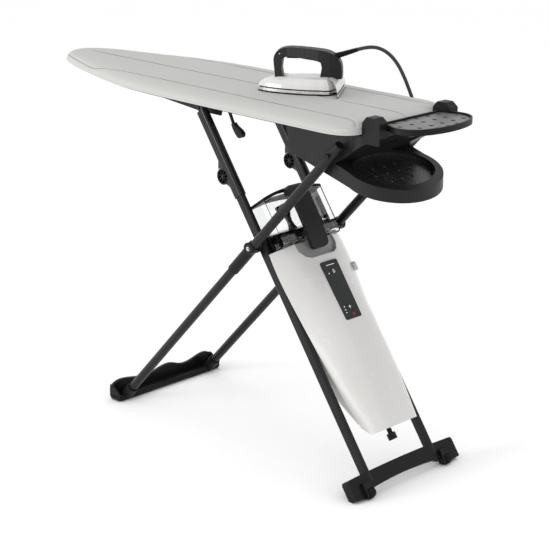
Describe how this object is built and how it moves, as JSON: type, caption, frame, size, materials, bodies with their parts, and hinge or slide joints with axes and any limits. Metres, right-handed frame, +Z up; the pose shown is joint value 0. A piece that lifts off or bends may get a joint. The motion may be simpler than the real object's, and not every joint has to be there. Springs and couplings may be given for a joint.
{
  "type": "ironing table with steam generator",
  "caption": "Folding ironing table on crossed legs, with a steam generator and clear water tank in the inner leg frame, a corded steam iron, a blower housing and an iron rest.",
  "frame": {"origin": "on the floor under the middle of the table's length and width", "axes": "+Z up, +X towards the iron rest end, -X towards the board's nose, Y across the board"},
  "size_m": [1.46, 0.4295, 1.0862],
  "materials": {
    "fabric_grey": "woven cotton with a fine heather",
    "felt": "matt felt",
    "steel_zinc": "zinc plated",
    "paint_black": "satin powder coat",
    "paint_grey": "satin powder coat",
    "plastic_black": "fine grain moulded",
    "plastic_gloss_black": "polished",
    "plastic_dark_grey": "fine grain moulded",
    "plastic_white": "gloss",
    "plastic_grey": "satin",
    "plastic_clear": "clear",
    "panel_black": "smoked",
    "plate_metal": "fine texture",
    "aluminium_sole": "polished",
    "sole_black": "non-stick",
    "boiler_steel": "deep drawn",
    "rubber_black": "matt",
    "hose_braid": "braided sleeve",
    "pcb_green": "solder mask",
    "axle_steel": "turned"
  },
  "bodies": {
    "table": {"cover": "fabric_grey", "felt_pad": "felt", "board_panel": "steel_zinc", "board_frame": "paint_black", "slide_rails": "paint_black", "housing_shell": "plastic_dark_grey", "housing_grille": "plastic_black", "fan_motor": "steel_zinc", "tray_liner": "plastic_black", "rest_frame": "plastic_black", "rest_plate": "plate_metal", "rest_post_near": "plastic_black", "rest_post_far": "plastic_black", "pivot_bolts": "plastic_black", "hose_gland": "plastic_black", "hose_reserve": "hose_braid"},
    "fan": {"fan_impeller": "plastic_black"},
    "lever": {"release_lever": "plastic_black"},
    "outer_legs": {"outer_tube_near": "paint_grey", "outer_tube_far": "paint_grey", "pivot_collars": "plastic_black", "foot_shoe": "plastic_black", "shoe_pads": "rubber_black"},
    "inner_legs": {"inner_tube_near": "paint_grey", "inner_tube_far": "paint_grey", "upper_sleeve_near": "plastic_gloss_black", "upper_sleeve_far": "plastic_gloss_black", "slider_bar": "paint_black", "cross_axle": "axle_steel", "tank_cradle": "plastic_black", "foot_beam": "plastic_black", "casing_front": "plastic_white", "scoop_liner": "plastic_grey", "casing_rear": "plastic_white", "boiler": "boiler_steel", "pump": "plastic_black", "control_panel": "panel_black", "circuit_board": "pcb_green", "mains_inlet": "plastic_black", "drain_neck": "plastic_black"},
    "caster_n": {"caster_near": "rubber_black"},
    "caster_f": {"caster_far": "rubber_black"},
    "transport_roller_n": {"roller_near": "plastic_black"},
    "transport_roller_f": {"roller_far": "plastic_black"},
    "tank": {"water_tank": "plastic_clear", "tank_lid": "plastic_black", "tank_grip": "plastic_dark_grey", "filter_cartridge": "plastic_black"},
    "drain": {"drain_cap": "plastic_black"},
    "dial": {"steam_dial": "plastic_clear"},
    "key_1": {"key_power": "panel_black"},
    "key_2": {"key_steam": "panel_black"},
    "iron": {"iron_shoe": "sole_black", "iron_sole": "aluminium_sole", "iron_gasket": "rubber_black", "iron_cover": "plastic_white", "iron_handle": "plastic_dark_grey", "hose_boot": "rubber_black", "steam_hose": "hose_braid"},
    "trigger": {"steam_trigger": "plastic_black"}
  },
  "joints": [
    {"name": "outer_leg_fold", "type": "hinge", "parent": "table", "child": "outer_legs", "pos_m": [0.48217, 0, 0.87007], "axis": [0, 1, 0], "range_deg": [0, 27]},
    {"name": "inner_leg_fold", "type": "hinge", "parent": "outer_legs", "child": "inner_legs", "pos_m": [0.2038, 0, 0.5759], "axis": [0, 1, 0], "range_deg": [-54.5, 0]},
    {"name": "fan_spin", "type": "hinge", "parent": "table", "child": "fan", "pos_m": [0.376, -0.008, 0.875], "axis": [0, 0, 1], "continuous": true},
    {"name": "lever_pull", "type": "hinge", "parent": "table", "child": "lever", "pos_m": [0.113, -0.149, 0.936], "axis": [0, 1, 0], "range_deg": [-14, 0], "stiffness_Nm_per_rad": 0.8, "springref_deg": 1.72},
    {"name": "caster_spin_near", "type": "hinge", "parent": "inner_legs", "child": "caster_n", "pos_m": [0.617, -0.1498, 0.014], "axis": [0, 1, 0], "continuous": true},
    {"name": "caster_spin_far", "type": "hinge", "parent": "inner_legs", "child": "caster_f", "pos_m": [0.617, 0.1498, 0.014], "axis": [0, 1, 0], "continuous": true},
    {"name": "roller_spin_near", "type": "hinge", "parent": "inner_legs", "child": "transport_roller_n", "pos_m": [0.06237, -0.1236, 0.73431], "axis": [0, 1, 0], "continuous": true},
    {"name": "roller_spin_far", "type": "hinge", "parent": "inner_legs", "child": "transport_roller_f", "pos_m": [0.06237, 0.1236, 0.73431], "axis": [0, 1, 0], "continuous": true},
    {"name": "tank_lift", "type": "slide", "parent": "inner_legs", "child": "tank", "axis": [-0.5774, 0, 0.8164], "range_m": [0, 0.11]},
    {"name": "drain_cap_unscrew", "type": "hinge", "parent": "inner_legs", "child": "drain", "pos_m": [0.55769, 0, 0.10844], "axis": [0.5774, 0, -0.8164], "range_deg": [0, 340]},
    {"name": "steam_dial_turn", "type": "hinge", "parent": "inner_legs", "child": "dial", "pos_m": [0.30745, 0.1156, 0.48753], "axis": [0.6742, 0.5639, 0.4769], "range_deg": [0, 180]},
    {"name": "power_key_press", "type": "slide", "parent": "inner_legs", "child": "key_1", "axis": [-0.8164, 0, -0.5774], "range_m": [0, 0.0008], "stiffness_N_per_m": 2200, "springref_m": -0.0004},
    {"name": "steam_key_press", "type": "slide", "parent": "inner_legs", "child": "key_2", "axis": [-0.8164, 0, -0.5774], "range_m": [0, 0.0008], "stiffness_N_per_m": 2200, "springref_m": -0.0004},
    {"name": "iron_lift", "type": "slide", "parent": "table", "child": "iron", "axis": [0, 0, 1], "range_m": [0, 0.025]},
    {"name": "trigger_press", "type": "slide", "parent": "iron", "child": "trigger", "axis": [0, 0, 1], "range_m": [0, 0.004], "stiffness_N_per_m": 700, "springref_m": -0.001}
  ],
  "couplings": [
    {"joint": "inner_leg_fold", "follows": "outer_leg_fold", "ratio": -2}
  ]
}
